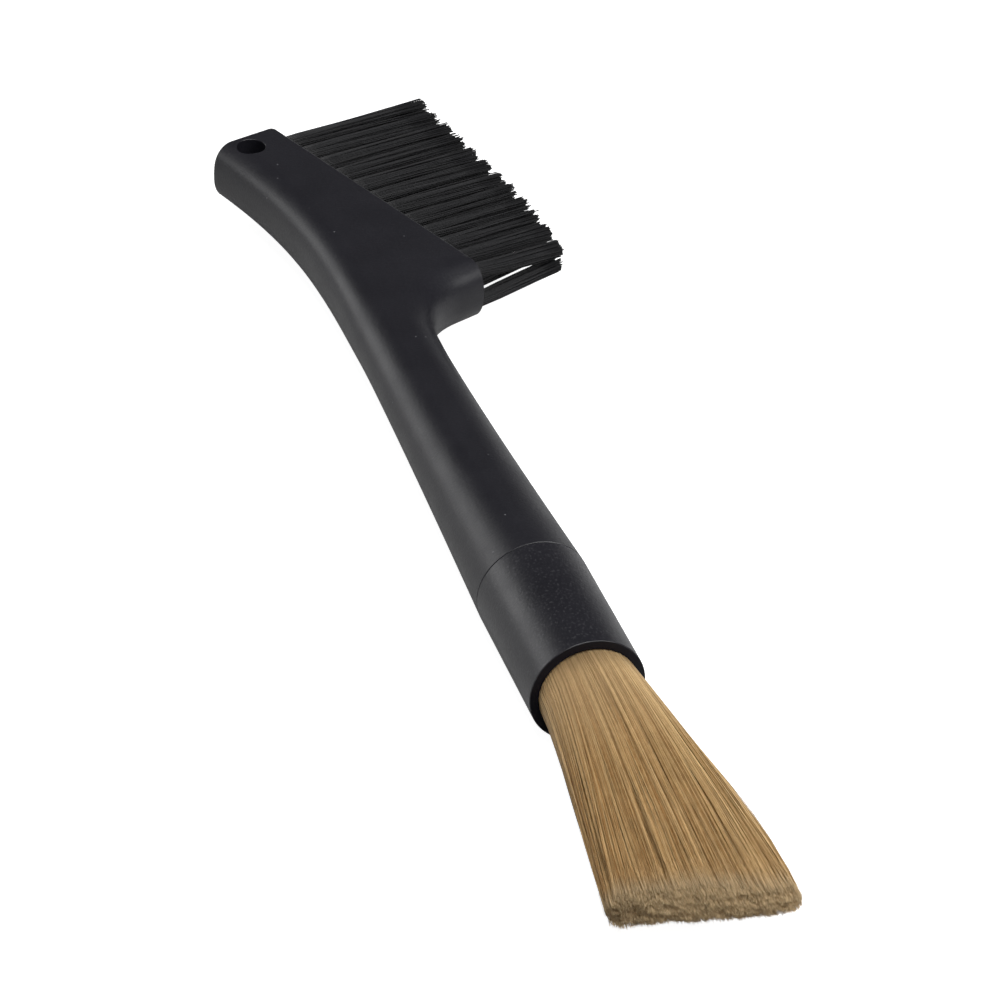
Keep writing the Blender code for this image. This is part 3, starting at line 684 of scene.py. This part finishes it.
def bundle_tree():
    """Blond bristles: from a round root they spread into a thin fan, in clumps that draw together."""
    sizes = "strand_radius start splay root_place " + FAN_SIZES
    tree = StrandTree("blond_fan", Int="strands seed", Float=sizes, Material="material")
    given = tree.input
    seed = given("seed")
    root_radius = given("root_radius")
    index = tree.make("GeometryNodeInputIndex")
    distance = root_radius * ((index + 0.5) / given("strands")) ** 0.5
    angle = index * GOLDEN_ANGLE + seed * 1.7
    points = tree.store(
        tree.make("GeometryNodePoints", {"Count": given("strands")}),
        root_across=distance * tree.math("COSINE", angle),
        root_up=distance * tree.math("SINE", angle),
        tone=tree.random(0.0, seed + 1),
        stray=tree.random(-1.0, seed + 2),
        shortfall=tree.random(0.0, seed + 3),
        fan_out=tree.random(-1.0, seed + 4),
        fan_up=tree.random(-1.0, seed + 5),
    )
    hairs = tree.strands(points, sides=3, segments=9)

    ring_x, ring_y, along = tree.template()
    start = given("start")
    hairs = tree.store(hairs, along=start + along * (1.0 - start))
    across = tree.stored("root_across")
    up = tree.stored("root_up")
    stray = tree.stored("stray")
    along = tree.stored("along")
    centre_x, centre_y, red, green, blue = tree.clump(across, up, 1.0 / given("clump"))
    # Clump tone: random for each clump, plus painted side light that makes the fan lighter towards its
    # positive across side, as if more light fell there.
    hairs = tree.store(hairs, clump_tone=red * 0.5 + 0.25 + across / root_radius * 0.28)
    pull = given("clump_pull") * tree.remap(along, 0.1, 0.85, smooth=True)
    pull = pull * tree.remap(across / root_radius, -0.2, 0.9, 1.0, 0.2)
    pull = pull * (1.0 - tree.remap(along, 0.88, 1.0, 0.0, 0.6))
    drawn_across = (across + (centre_x - across) * pull) / root_radius
    drawn_up = (up + (centre_y - up) * pull) / root_radius

    reach = given("reach")
    side = tree.math("ABSOLUTE", drawn_across)
    shortfall = given("ragged") * (0.45 * tree.stored("shortfall") + 0.55 * green)
    tip = reach + given("slant") * drawn_across - shortfall - given("corner_drop") * side**5.0
    tip = tip - given("end_rounding") * drawn_up * drawn_up
    patches = tree.noise(tree.vector(across * 620.0, up * 620.0, 3.0), 1.0)
    tip = tip - given("uneven") * tree.remap(patches, 0.3, 0.7)
    root_place = given("root_place")
    x = root_place + along * (tip - root_place)
    t = tree.clamp(x / reach)

    radial = tree.math("SQRT", drawn_across * drawn_across + drawn_up * drawn_up)
    longest = tree.math("MAXIMUM", tree.math("MAXIMUM", side, tree.math("ABSOLUTE", drawn_up)), 0.01)
    squarer = 1.0 + (radial / longest - 1.0) * given("squareness") * t
    spread = t + 0.35 * (tree.math("SINE", t * (math.pi / 2)) - t)
    half_width = root_radius + (given("tip_half_width") - root_radius) * spread
    half_thickness = root_radius + (given("tip_half_thickness") - root_radius) * t
    shifted = given("drift") * t + given("bow") * tree.math("SINE", t**0.7 * math.pi)

    wander_place = tree.vector(across * 1400.0 + stray * 2.0, up * 1400.0, along * 2.2)
    wander_y, wander_z, _ = tree.parts(tree.noise(wander_place, 1.0, output=1))
    wave = given("wave") * along
    crossing = given("crossing") * along * along * (1.0 - side * 0.7)
    splay = given("splay") * tree.remap(along, 0.88, 1.0) ** 1.5
    y = drawn_across * squarer * half_width + shifted
    y = y + (wander_y - 0.5) * wave * 2.0 + (blue - 0.5) * crossing + stray * crossing * 0.25
    y = y + tree.stored("fan_out") * splay
    outer = tree.math("MAXIMUM", drawn_across, 0.0) ** 4.0
    loose = tree.remap(t, 0.28, 0.7, smooth=True) * (1.0 - tree.remap(t, 0.84, 0.99, smooth=True))
    y = y + outer * loose * given("loose_side")
    z = drawn_up * squarer * half_thickness + (wander_z - 0.5) * wave + tree.stored("fan_up") * splay
    radius = given("strand_radius") * tree.remap(along, 0.4, 1.0, 1.0, 0.5)
    tree.finish(hairs, tree.vector(x, y + ring_x * radius, z + ring_y * radius))
    return tree


def tuft_tree():
    """Nylon tufts: two rows of round tufts, each of straight filaments that splay a little at their tips."""
    tree = StrandTree(
        "nylon_rows",
        Int="in_row strands seed",
        Vector="corner edge_direction out_direction",
        Float="root_depth root_radius " + ROW_SIZES,
        Material="material",
    )
    given = tree.input
    seed = given("seed")
    in_row = given("in_row")
    strands = given("strands")
    index = tree.make("GeometryNodeInputIndex")
    tuft = tree.math("FLOOR", index / strands)
    inside = index - tuft * strands
    row = tree.math("FLOOR", tuft / in_row)
    distance = tree.math("SQRT", (inside + 0.5) / strands)
    angle = inside * GOLDEN_ANGLE + tuft * 1.3
    points = tree.store(
        tree.make("GeometryNodePoints", {"Count": in_row * strands * 2.0}),
        row_side=1.0 - row * 2.0,
        column=tuft - row * in_row,
        spot_along=distance * tree.math("COSINE", angle),
        spot_up=distance * tree.math("SINE", angle),
        tone=tree.random(0.0, seed + 1),
        tuft_tone=tree.random(0.0, seed + 2, ID=tuft),
        tuft_lean=tree.random(-1.0, seed + 3, ID=tuft),
        tuft_lift=tree.random(-1.0, seed + 4, ID=tuft),
        bend=tree.random(-1.0, seed + 5),
        lift=tree.random(-1.0, seed + 6),
        shortfall=tree.random(0.0, seed + 7),
    )
    hairs = tree.strands(points, sides=4, segments=5)

    ring_x, ring_y, along = tree.template()
    hairs = tree.store(hairs, along=along)
    along = tree.stored("along")
    side = tree.stored("row_side")
    column = tree.stored("column")
    place = column / (in_row - 1.0)
    reach = given("far_reach") + (given("near_reach") - given("far_reach")) * place
    reach = reach + given("middle_reach") * 6.75 * place * place * (1.0 - place)
    shortfall = tree.stored("shortfall")
    spot_along = tree.stored("spot_along")
    spot_up = tree.stored("spot_up")
    aside = column * 7.0 + side * 50.0
    centre_along, centre_up, red, green, _ = tree.clump(spot_along + aside, spot_up, 1.5)
    # In the tufts this tone is random by clump and by tuft only; no painted light is added here.
    hairs = tree.store(hairs, clump_tone=red * 0.6 + tree.stored("tuft_tone") * 0.4)
    reach = reach - given("ragged") * (0.6 * shortfall * shortfall + 0.6 * green)
    depth = given("root_depth")
    out = along * (reach + depth) - depth
    free = tree.clamp(out / given("far_reach"))
    pull = given("clump_pull") * tree.remap(free, 0.02, 0.5, smooth=True)
    spot_along = spot_along + (centre_along - aside - spot_along) * pull
    spot_up = spot_up + (centre_up - spot_up) * pull
    swell = 1.0 + given("bulge") * tree.remap(out, 0.0, 3.5 * MM, smooth=True)
    width = given("root_radius") * swell * (1.0 + (given("flare") - 1.0) * free)
    splay = free * free
    bend = given("splay")
    lean = given("lean")
    radius = given("strand_radius")
    sideways = spot_along * width + splay * (tree.stored("bend") * bend + tree.stored("tuft_lean") * lean)
    sideways = sideways + splay * (1.0 - place * 2.0) * given("gather") + ring_x * radius
    lift = spot_up * width + splay * (tree.stored("lift") * bend + tree.stored("tuft_lift") * lean * 0.6)
    lift = lift + ring_y * radius
    row_lean = given("row_lean") * (0.76 + 0.24 * place)
    rise = side * given("row_spacing") / 2.0 + lift - out * row_lean * side
    sag = (1.0 + side) * 0.65 * place**6.0 * tree.remap(out, 0.0, 4.0 * MM, smooth=True)
    rise = rise + given("droop") * (place * (0.35 - along * along) - sag)
    position = tree.sum(
        given("corner"),
        tree.along(given("edge_direction"), given("first_inset") + column * given("pitch") + sideways),
        tree.along(given("out_direction"), out),
        tree.vector(0.0, 0.0, rise),
    )
    tree.finish(hairs, position)
    return tree


# Finishes


def new_group(name, inputs, outputs):
    """A shader group of values: a maker for its nodes, what comes in and what goes out."""
    tree = bpy.data.node_groups.new(name, "ShaderNodeTree")
    for title, value in inputs.items():
        socket = tree.interface.new_socket(title, in_out="INPUT", socket_type="NodeSocketFloat")
        socket.default_value = value
    for title in outputs:
        tree.interface.new_socket(title, in_out="OUTPUT", socket_type="NodeSocketFloat")
    maker = TreeMaker(tree)
    return maker, maker.node("NodeGroupInput").outputs, maker.node("NodeGroupOutput").inputs


def moulded_grain_group():
    """Fine grain of moulded plastic: a height, a mottle of the gloss, and sparse specks of dust."""
    name = "moulded_grain"
    if name in bpy.data.node_groups:
        return bpy.data.node_groups[name]
    sizes = {"Grain Scale": 2600.0, "Dust Scale": 420.0, "Dust Share": 0.2, "Haze": 0.0}
    maker, given, leave = new_group(name, sizes, ("Height", "Mottle", "Dust"))
    place = maker.own_place()
    fine = maker.noise(place, given["Grain Scale"], 2.0)
    coarse = maker.noise(place, 900.0, 3.0)
    broad = maker.noise(place, 110.0, 4.0)
    specks = maker.cells(place, given["Dust Scale"])
    present = maker.math("LESS_THAN", maker.parts(specks["Color"])[0], given["Dust Share"])
    near = maker.remap(specks["Distance"], 0.02, 0.09, 1.0, 0.0)
    haze = maker.remap(maker.noise(place, 2200.0, 2.0), 0.56, 0.7) * given["Haze"]
    results = {
        "Height": fine * 0.7 + coarse * 0.3,
        "Mottle": maker.remap(broad * 0.5 + fine * 0.5, 0.35, 0.65),
        "Dust": maker.math("MAXIMUM", present * near, haze),
    }
    maker.feed(leave, results)
    return maker.tree


def strand_tone_group():
    """Tone of a strand: its own, its clump's, and fine changes along it. For the blond fan the clump's tone
    also carries painted side light.
    """
    name = "strand_tone"
    if name in bpy.data.node_groups:
        return bpy.data.node_groups[name]
    sizes = {"Clump Tone": 0.0, "Streak Scale": 900.0}
    maker, given, leave = new_group(name, sizes, ("Tone", "Along", "Height"))
    streak = maker.noise(maker.own_place(), given["Streak Scale"], 2.0)
    # The clump's tone comes in with any painted side light already in it.
    clump = Field(maker, given["Clump Tone"])
    tone = maker.clamp(maker.attribute("tone") * 0.7 + clump * 0.6 + streak * 0.4 - 0.375)
    maker.feed(leave, (tone, maker.attribute("along"), streak))
    return maker.tree


def start_material(name, shown):
    """A new material, a maker for its nodes, and its shader's inputs."""
    material = bpy.data.materials.new(name)
    material.use_nodes = True
    material.diffuse_color = rgba(shown)
    return material, TreeMaker(material.node_tree), material.node_tree.nodes["Principled BSDF"].inputs


def rgba(value, strength=1.0):
    return (*(strength * part for part in value), 1.0)


def plastic_material(name, finishes, gloss, haze, roughness=0.33):
    """Black moulded plastic: satin, with a fine grain and a few specks of dust."""
    material, maker, shader = start_material(name, finishes.plastic)
    grain = maker.node("ShaderNodeGroup", node_tree=moulded_grain_group())
    grain.inputs["Haze"].default_value = haze
    mottle = Field(maker, grain.outputs["Mottle"])
    dust = Field(maker, grain.outputs["Dust"])
    base = maker.blend(mottle, rgba(finishes.plastic), rgba(finishes.plastic, 1.25))
    values = {
        "Base Color": maker.blend(dust, base, rgba(finishes.plastic_dust)),
        "Roughness": maker.clamp(roughness + mottle * 0.1 + dust * 0.3),
        "Specular IOR Level": gloss,
        "Normal": maker.bump(grain.outputs["Height"], 0.75, 0.05 * MM),
    }
    maker.feed(shader, values)
    return material


def strand_material(name, colours, roughness, gloss, pale_root=0.0):
    """A bristle: its tone varies from strand to strand, and its last millimetres are paler. Near the root it
    can also be painted paler, towards the tip colour, as painted light at the collar's mouth.
    """
    dark, middle, tip = colours
    material, maker, shader = start_material(name, middle)
    tones = maker.node("ShaderNodeGroup", node_tree=strand_tone_group())
    maker.feed(tones.inputs, {"Clump Tone": maker.attribute("clump_tone")})
    tone = tones.outputs["Tone"]
    along = tones.outputs["Along"]
    body = maker.blend(tone, rgba(dark), rgba(middle))
    # Painted light: near the root the bristle is blended towards the tip colour, standing in for light
    # falling at the collar's mouth.
    body = maker.blend(maker.remap(along, 0.0, 0.45, pale_root, 0.0), body, rgba(tip))
    at_tip = maker.remap(along, 0.92, 1.0, 0.0, 0.8, smooth=True)
    values = {
        "Base Color": maker.blend(at_tip, body, maker.blend(tone, rgba(tip, 0.55), rgba(tip, 1.08))),
        "Roughness": maker.remap(tone, 0.0, 1.0, roughness + 0.08, roughness),
        "Specular IOR Level": gloss,
        "Normal": maker.bump(tones.outputs["Height"], 0.2, 0.03 * MM),
    }
    maker.feed(shader, values)
    return material


def grained_material(name, base, roughness, scale, metallic=0.0):
    """Resin or steel: its colour and gloss vary with a fine grain."""
    material, maker, shader = start_material(name, base)
    grain = maker.noise(maker.own_place(), scale, 3.0)
    values = {
        "Base Color": maker.blend(grain, rgba(base, 0.8), rgba(base)),
        "Roughness": maker.remap(grain, 0.3, 0.7, roughness, roughness + 0.12),
        "Metallic": metallic,
    }
    maker.feed(shader, values)
    return material


# Operators


class BRUSH_OT_handle(bpy.types.Operator):
    """Make the handle: head, notch, grip, hanging hole and the holes for the tufts"""

    bl_idname = "brush.make_handle"
    bl_label = "Handle"

    def execute(self, context):
        plan = HandlePlan(context.scene)
        mesh = cut_away("handle_moulding", self.blank(plan), self.cutters(plan))
        finishes = context.scene.brush_finishes
        material = plastic_material("black_plastic_handle", finishes, gloss=0.5, haze=0.012)
        place_piece("handle_moulding", mesh, material, ["handle"])
        return {"FINISHED"}

    def blank(self, plan):
        size = plan.size
        collar = plan.collar
        slices = [plan.section(float(x)) for x in plan.stations()]
        seam = slices.pop()
        rounding = collar.seam_rounding
        spigot = collar.radius - collar.wall - size.spigot_gap
        spigot_end = size.spigot_length + size.spigot_taper
        steps = [(-inset, collar.radius - rounding + inset) for inset in (rounding, 0.3 * rounding, 0.0)]
        steps += [(0.0, spigot), (size.spigot_length, spigot), (spigot_end, spigot - size.spigot_taper)]
        for place, radius in steps:
            part = radius / collar.radius
            slices.append([(plan.seam_x + place, y * part, z * part) for _, y, z in seam])
        return ring_mesh("handle_blank", slices)

    def cutters(self, plan):
        yield self.face_cutter("edge_cut", plan, plan.edge, plan.out, plan.edge_length)
        yield self.face_cutter("end_cut", plan, plan.end, plan.end_out, plan.size.end_width)
        yield self.corner_cutter(plan)
        yield self.hole_cutter(plan)
        yield self.tuft_cutter(plan)

    def face_cutter(self, name, plan, along, out, run):
        """Everything past one cut face, whose two long edges are left rounded."""
        half = plan.half_head
        radius = plan.size.edge_rounding
        far = 4.0 * plan.size.head_thickness
        limit = math.radians(78.0)
        side = []
        for angle in arc(limit, EDGE_STEPS):
            side.append((radius * (math.cos(angle) - 1.0), half - radius + radius * math.sin(angle)))
        past = 0.4 * radius
        side.append((side[-1][0] - past * math.sin(limit), side[-1][1] + past * math.cos(limit)))
        side.append((side[-1][0], far))
        outline = side + [(far, far), (far, -far)] + [(a, -b) for a, b in reversed(side)]
        spare = 2.0 * plan.size.head_thickness
        bases = (plan.corner - spare * along, plan.corner + (run + spare) * along)
        return ring_mesh(name, [[base + a * out + b * UP for a, b in outline] for base in bases])

    def corner_cutter(self, plan):
        """The sliver outside the rounded far corner."""
        radius = plan.size.corner_radius
        across = (plan.end + plan.edge).normalized()
        half_opening = plan.edge.angle(plan.end) / 2
        centre = plan.corner + across * (radius / math.sin(half_opening))
        reach = radius / math.tan(half_opening)
        first = plan.corner + plan.edge * reach
        last = plan.corner + plan.end * reach
        outline = [first + radius * plan.out]
        for angle in arc(math.pi - 2.0 * half_opening, CORNER_STEPS):
            outline.append(centre + Matrix.Rotation(angle, 3, "Z") @ (first - centre))
        outline += [last + radius * plan.end_out, plan.corner - across * 2.0 * radius]
        heights = (-plan.size.head_thickness, plan.size.head_thickness)
        return ring_mesh("corner_cut", [[point + height * UP for point in outline] for height in heights])

    def hole_cutter(self, plan):
        size = plan.size
        half = plan.half_head
        radius = size.hole_rounding
        side = []
        for angle in arc(math.radians(75.0), EDGE_STEPS):
            wide = size.hole_radius + radius * (1.0 - math.cos(angle))
            side.append((half - radius + radius * math.sin(angle), wide))
        side.append((half + 0.3 * radius, side[-1][1] + 1.1 * radius))
        profile = [(-place, wide) for place, wide in reversed(side)] + side
        mesh = turned_mesh("hanging_hole", profile, HOLE_SIDES, axis="Z")
        centre = plan.corner + size.hole_along * plan.edge - size.hole_inset * plan.out
        mesh.transform(Matrix.Translation(centre))
        return mesh

    def tuft_cutter(self, plan):
        shape = bmesh.new()
        radius = plan.tufts.hole_radius
        depth = 2.0 * plan.tufts.hole_depth
        sizes = {"segments": TUFT_HOLE_SIDES, "radius1": radius, "radius2": radius, "depth": depth}
        for place in plan.tuft_frames():
            bmesh.ops.create_cone(shape, cap_ends=True, matrix=place, **sizes)
        return closed_mesh("tuft_holes", shape)


class BRUSH_OT_collar(bpy.types.Operator):
    """Make the round collar, with rounded edges at its mouth and seam, and a dull ring over its rim face as
    painted shade
    """

    bl_idname = "brush.make_collar"
    bl_label = "Collar"

    def execute(self, context):
        size = context.scene.brush_collar
        finishes = context.scene.brush_finishes
        start = size.seam_gap - size.long
        inner = size.radius - size.wall
        profile = [(start, inner)]
        profile += rounded((start, size.radius), (0.0, -1.0), (1.0, 0.0), size.seam_rounding, 3)
        profile += rounded((0.0, size.radius), (-1.0, 0.0), (0.0, -1.0), size.rim_rounding)
        profile += rounded((0.0, inner), (0.0, 1.0), (-1.0, 0.0), size.rim_rounding)
        material = plastic_material("black_plastic_collar", finishes, gloss=0.56, haze=0.14, roughness=0.29)
        self.turn_piece("collar_tube", profile, material)
        # Painted shade: a thin ring over the rim face, in black plastic with little gloss, keeps the rim dark
        # as if it lay in shade.
        deep = -size.shade_ring_depth
        lip = size.shade_ring_lip
        edge = size.radius - size.rim_rounding
        face = [(deep, inner + lip), (deep, edge), (lip, edge), (lip, inner + lip)]
        material = plastic_material("black_plastic_cut_face", finishes, gloss=0.12, haze=0.0)
        self.turn_piece("collar_cut_face", face, material)
        return {"FINISHED"}

    def turn_piece(self, name, profile, material):
        mesh = turned_mesh(name, profile, COLLAR_SIDES, tube=True)
        place_piece(name, mesh, material, ["collar"])


class BRUSH_OT_blond_bristles(bpy.types.Operator):
    """Grow the fan of blond bristles out of the collar"""

    bl_idname = "brush.grow_blond_bristles"
    bl_label = "Blond bristles"

    def execute(self, context):
        size = context.scene.brush_bundle
        finishes = context.scene.brush_finishes
        colours = (finishes.blond_dark, finishes.blond, finishes.blond_tip)
        material = strand_material("blond_fibre", colours, roughness=0.5, gloss=0.5, pale_root=0.4)
        tree = bundle_tree()
        values = named_sizes(size, FAN_SIZES)
        values["root_place"] = -context.scene.brush_collar.mouth_recess
        values["material"] = material
        values["start"] = 0.0
        values["strands"] = size.strands // size.layers
        values["strand_radius"] = size.strand_radius
        values["splay"] = size.splay
        for layer in range(size.layers):
            values["seed"] = FAN_SEED + FAN_SEED_STEP * layer
            self.grow_piece(tree, f"blond_bristles_{layer + 1}", values)
        values["start"] = size.split_start
        values["strands"] = size.split_ends
        values["strand_radius"] = size.split_radius
        values["splay"] = size.split_splay
        values["seed"] = SPLIT_SEED
        self.grow_piece(tree, "blond_split_tips", values)
        return {"FINISHED"}

    def grow_piece(self, tree, name, values):
        mesh = tree.grow(name, values)
        place_piece(name, mesh, values["material"], ["blond_bristles"], sharp=None)


class BRUSH_OT_nylon_tufts(bpy.types.Operator):
    """Grow the two rows of nylon tufts out of the holes in the head's edge"""

    bl_idname = "brush.grow_nylon_tufts"
    bl_label = "Nylon tufts"

    def execute(self, context):
        plan = HandlePlan(context.scene)
        size = context.scene.brush_tufts
        finishes = context.scene.brush_finishes
        colours = (finishes.nylon, finishes.nylon_light, finishes.nylon_light)
        material = strand_material("black_nylon", colours, roughness=0.48, gloss=0.42)
        values = {
            "in_row": size.in_row,
            "strands": size.strands,
            "seed": TUFT_SEED,
            "corner": tuple(plan.corner),
            "edge_direction": tuple(plan.edge),
            "out_direction": tuple(plan.out),
            "root_depth": size.hole_depth - size.anchor_room,
            "root_radius": size.hole_radius - size.strand_radius,
            "material": material,
        }
        mesh = tuft_tree().grow("nylon_tufts", {**values, **named_sizes(size, ROW_SIZES)})
        place_piece("nylon_tufts", mesh, material, TUFT_NODES, sharp=None)
        return {"FINISHED"}


class BRUSH_OT_hidden_pieces(bpy.types.Operator):
    """Give the resin plug and the tufts' anchors their finishes"""

    bl_idname = "brush.finish_hidden_pieces"
    bl_label = "Hidden pieces"

    def execute(self, context):
        finishes = context.scene.brush_finishes
        resin = grained_material("set_resin", finishes.resin, roughness=0.22, scale=700.0)
        steel = grained_material("anchor_steel", finishes.steel, roughness=0.3, scale=4000.0, metallic=1.0)
        self.paint("resin_plug", resin)
        for name in ANCHOR_NODES:
            self.paint(name, steel)
        return {"FINISHED"}

    def paint(self, name, material):
        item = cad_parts[name]
        if not item.material_slots:
            item.data.materials.append(material)
        for place in item.material_slots:
            place.material = material


class BRUSH_OT_stage(bpy.types.Operator):
    """Set the pale floor, the soft lights and the camera"""

    bl_idname = "brush.set_stage"
    bl_label = "Stage"

    def execute(self, context):
        settings = context.scene.brush_stage
        self.floor(context.scene.brush_finishes.floor, settings.floor_glow)
        for name, (place, sides) in LIGHTS.items():
            self.soft_light(name + "_light", place, sides, getattr(settings, name + "_power"))
        context.scene.world = self.room(settings.room)
        context.scene.camera = self.camera(settings.lens)
        context.scene.view_settings.view_transform = "Standard"
        return {"FINISHED"}

    def floor(self, tint, glow):
        shape = bmesh.new()
        bmesh.ops.create_grid(shape, x_segments=1, y_segments=1, size=3.0)
        mesh = bpy.data.meshes.new("floor")
        shape.to_mesh(mesh)
        shape.free()
        material, maker, shader = start_material("pale_floor", tint)
        values = {
            "Base Color": rgba(tint),
            "Roughness": 0.8,
            "Specular IOR Level": 0.0,
            "Emission Color": (1.0, 1.0, 1.0, 1.0),
            "Emission Strength": maker.make("ShaderNodeLightPath", output="Is Camera Ray") * glow,
        }
        maker.feed(shader, values)
        mesh.materials.append(material)
        item = link("floor", mesh)
        item.location.z = CAD_BOX[0].z

    def room(self, brightness):
        world = bpy.data.worlds.new("room")
        world.use_nodes = True
        background = world.node_tree.nodes["Background"]
        background.inputs["Color"].default_value = (1.0, 1.0, 1.0, 1.0)
        background.inputs["Strength"].default_value = brightness
        return world

    def soft_light(self, name, place, sides, power):
        light = bpy.data.lights.new(name, "AREA")
        light.shape = "RECTANGLE"
        light.size, light.size_y = sides
        light.energy = power
        item = link(name, light)
        item.location = place
        aim = Vector(place) - Vector((0.0, 0.0, 0.01))
        item.rotation_euler = aim.to_track_quat("Z", "Y").to_euler()

    def camera(self, lens):
        data = bpy.data.cameras.new("photo_view")
        data.sensor_width = 36.0
        data.lens = lens
        data.clip_start = 0.01
        item = link("photo_view", data)
        item.location = MOUTH + CAMERA_PLACE
        item.rotation_euler = [math.radians(angle) for angle in CAMERA_TURN]
        return item


class BRUSH_PT_panel(bpy.types.Panel):
    """Steps that build the brush, with the sizes and colours that they use"""

    bl_label = "Coffee grinder brush"
    bl_idname = "BRUSH_PT_panel"
    bl_space_type = "VIEW_3D"
    bl_region_type = "UI"
    bl_category = "Brush"

    def draw(self, context):
        for step in STEPS:
            self.layout.operator(step.bl_idname)
        for name, group in PROPERTIES.items():
            box = self.layout.box()
            box.label(text=name.replace("_", " ").capitalize())
            for size in group.__annotations__:
                box.prop(getattr(context.scene, name), size)


PROPERTIES = {
    "brush_handle": HandleSizes,
    "brush_collar": CollarSizes,
    "brush_bundle": BundleSizes,
    "brush_tufts": TuftSizes,
    "brush_finishes": Finishes,
    "brush_stage": StageSettings,
}
STEPS = (
    BRUSH_OT_handle,
    BRUSH_OT_collar,
    BRUSH_OT_blond_bristles,
    BRUSH_OT_nylon_tufts,
    BRUSH_OT_hidden_pieces,
    BRUSH_OT_stage,
)


def register():
    for kind in (*PROPERTIES.values(), *STEPS, BRUSH_PT_panel):
        bpy.utils.register_class(kind)
    for name, kind in PROPERTIES.items():
        setattr(bpy.types.Scene, name, PointerProperty(type=kind))


def unregister():
    for name in PROPERTIES:
        delattr(bpy.types.Scene, name)
    for kind in reversed((*PROPERTIES.values(), *STEPS, BRUSH_PT_panel)):
        bpy.utils.unregister_class(kind)


def main():
    register()
    bpy.ops.brush.make_handle()
    bpy.ops.brush.make_collar()
    bpy.ops.brush.grow_blond_bristles()
    bpy.ops.brush.grow_nylon_tufts()
    bpy.ops.brush.finish_hidden_pieces()
    bpy.ops.brush.set_stage()


if __name__ == "__main__":
    main()
